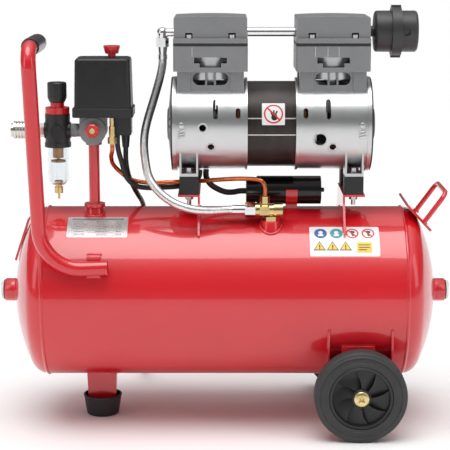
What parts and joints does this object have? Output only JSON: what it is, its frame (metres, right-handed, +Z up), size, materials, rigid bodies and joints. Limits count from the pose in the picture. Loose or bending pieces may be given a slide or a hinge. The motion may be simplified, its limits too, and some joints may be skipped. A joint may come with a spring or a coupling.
{
  "type": "air compressor",
  "caption": "Portable piston air compressor: horizontal receiver tank on wheels and a foot, direct-driven oil-free pump on top, pressure switch, regulator and handle.",
  "frame": {"origin": "on the floor under the middle of the receiver tank, at the bottom centre of the compressor's box without its mains cord", "axes": "+X along the tank from the pressure switch end to the wheel end, +Z up, -Y towards the side that carries the labels"},
  "size_m": [0.626, 0.4485, 0.5767],
  "materials": {
    "red_paint": "gloss",
    "black_rubber": "satin",
    "tyre_rubber": "matte",
    "black_plastic": "satin",
    "vinyl_grip": "gloss",
    "nickel": "polished",
    "zinc_steel": "satin",
    "yellow_zinc": "satin",
    "alloy": "satin",
    "dark_casting": "blasted",
    "laminations": "satin",
    "copper_wire": "varnished",
    "copper_pipe": "satin",
    "brass": "satin",
    "chrome": "polished",
    "steel_braid": "braided",
    "red_plastic": "gloss",
    "clear_plastic": "clear",
    "bronze": "sintered",
    "cable_jacket": "matte"
  },
  "bodies": {
    "root": {"air_tank": "red_paint", "end_plugs": "nickel", "saddles": "red_paint", "front_leg": "red_paint", "foot_pad": "black_rubber", "axle_bracket": "red_paint", "axle_bolts": "yellow_zinc", "carry_handle": "red_paint", "pull_handle": "red_paint", "handle_grip": "vinyl_grip", "drain_cock": "brass", "isolators": "black_rubber", "mount_bolts": "zinc_steel", "pump_housings": "alloy", "stator": "laminations", "windings": "copper_wire", "bearings": "zinc_steel", "cylinder_sleeves": "alloy", "cylinder_blocks": "dark_casting", "valve_plates": "black_rubber", "cylinder_heads": "dark_casting", "head_bolts": "zinc_steel", "end_covers": "black_plastic", "transfer_pipe": "chrome", "air_filter": "black_plastic", "hose_fittings": "chrome", "braided_hose": "steel_braid", "check_valve": "brass", "unloader_tube": "copper_pipe", "brass_fittings": "brass", "capacitor": "black_plastic", "motor_cable": "cable_jacket", "riser_pipe": "red_paint", "manifold": "dark_casting", "switch_base": "black_plastic", "switch_cover": "black_plastic", "cable_glands": "black_plastic", "regulator_body": "black_plastic", "filter_bowl": "clear_plastic", "bowl_element": "bronze", "coupler_body": "nickel", "mains_cord": "cable_jacket", "cord_coil": "cable_jacket", "mains_plug": "black_plastic"},
    "rotor": {"motor_rotor": "zinc_steel", "eccentrics": "zinc_steel", "cooling_fans": "black_plastic"},
    "left_piston": {"piston_left": "alloy"},
    "right_piston": {"piston_right": "alloy"},
    "front_wheel": {"front_tyre": "tyre_rubber", "front_hub": "black_plastic"},
    "rear_wheel": {"rear_tyre": "tyre_rubber", "rear_hub": "black_plastic"},
    "button": {"switch_button": "red_plastic"},
    "safety_pull": {"safety_knob": "red_plastic"},
    "spindle": {"regulator_spindle": "red_plastic"},
    "knob": {"regulator_knob": "black_plastic"},
    "bowl_pin": {"bowl_drain": "brass"},
    "sleeve": {"coupler_sleeve": "nickel"},
    "tap": {"drain_tap": "brass"}
  },
  "joints": [
    {"name": "rotor_spin", "type": "hinge", "parent": "root", "child": "rotor", "pos_m": [0.063, 0, 0.4145], "axis": [1, 0, 0], "continuous": true},
    {"name": "left_stroke", "type": "slide", "parent": "root", "child": "left_piston", "axis": [0, 0, 1], "range_m": [-0.016, 0]},
    {"name": "right_stroke", "type": "slide", "parent": "root", "child": "right_piston", "axis": [0, 0, 1], "range_m": [0, 0.016]},
    {"name": "front_wheel_spin", "type": "hinge", "parent": "root", "child": "front_wheel", "pos_m": [0.182, -0.125, 0.0625], "axis": [0, 1, 0], "continuous": true},
    {"name": "rear_wheel_spin", "type": "hinge", "parent": "root", "child": "rear_wheel", "pos_m": [0.182, 0.125, 0.0625], "axis": [0, 1, 0], "continuous": true},
    {"name": "button_press", "type": "slide", "parent": "root", "child": "button", "axis": [0, 0, 1], "range_m": [-0.0045, 0]},
    {"name": "safety_pull_out", "type": "slide", "parent": "root", "child": "safety_pull", "axis": [0, -1, 0], "range_m": [0, 0.003], "stiffness_N_per_m": 2000},
    {"name": "regulator_turn", "type": "hinge", "parent": "root", "child": "spindle", "pos_m": [-0.228, -0.025, 0.431], "axis": [0, 0, 1], "range_deg": [-540, 540]},
    {"name": "knob_lift", "type": "slide", "parent": "spindle", "child": "knob", "axis": [0, 0, 1], "range_m": [0, 0.003]},
    {"name": "bowl_drain_push", "type": "slide", "parent": "root", "child": "bowl_pin", "axis": [0, 0, 1], "range_m": [0, 0.002], "stiffness_N_per_m": 500},
    {"name": "coupler_pull_back", "type": "slide", "parent": "root", "child": "sleeve", "axis": [1, 0, 0], "range_m": [0, 0.005], "stiffness_N_per_m": 1500},
    {"name": "drain_turn", "type": "hinge", "parent": "root", "child": "tap", "pos_m": [0.16, 0, 0.03], "axis": [0, 0, 1], "range_deg": [0, 540]}
  ]
}
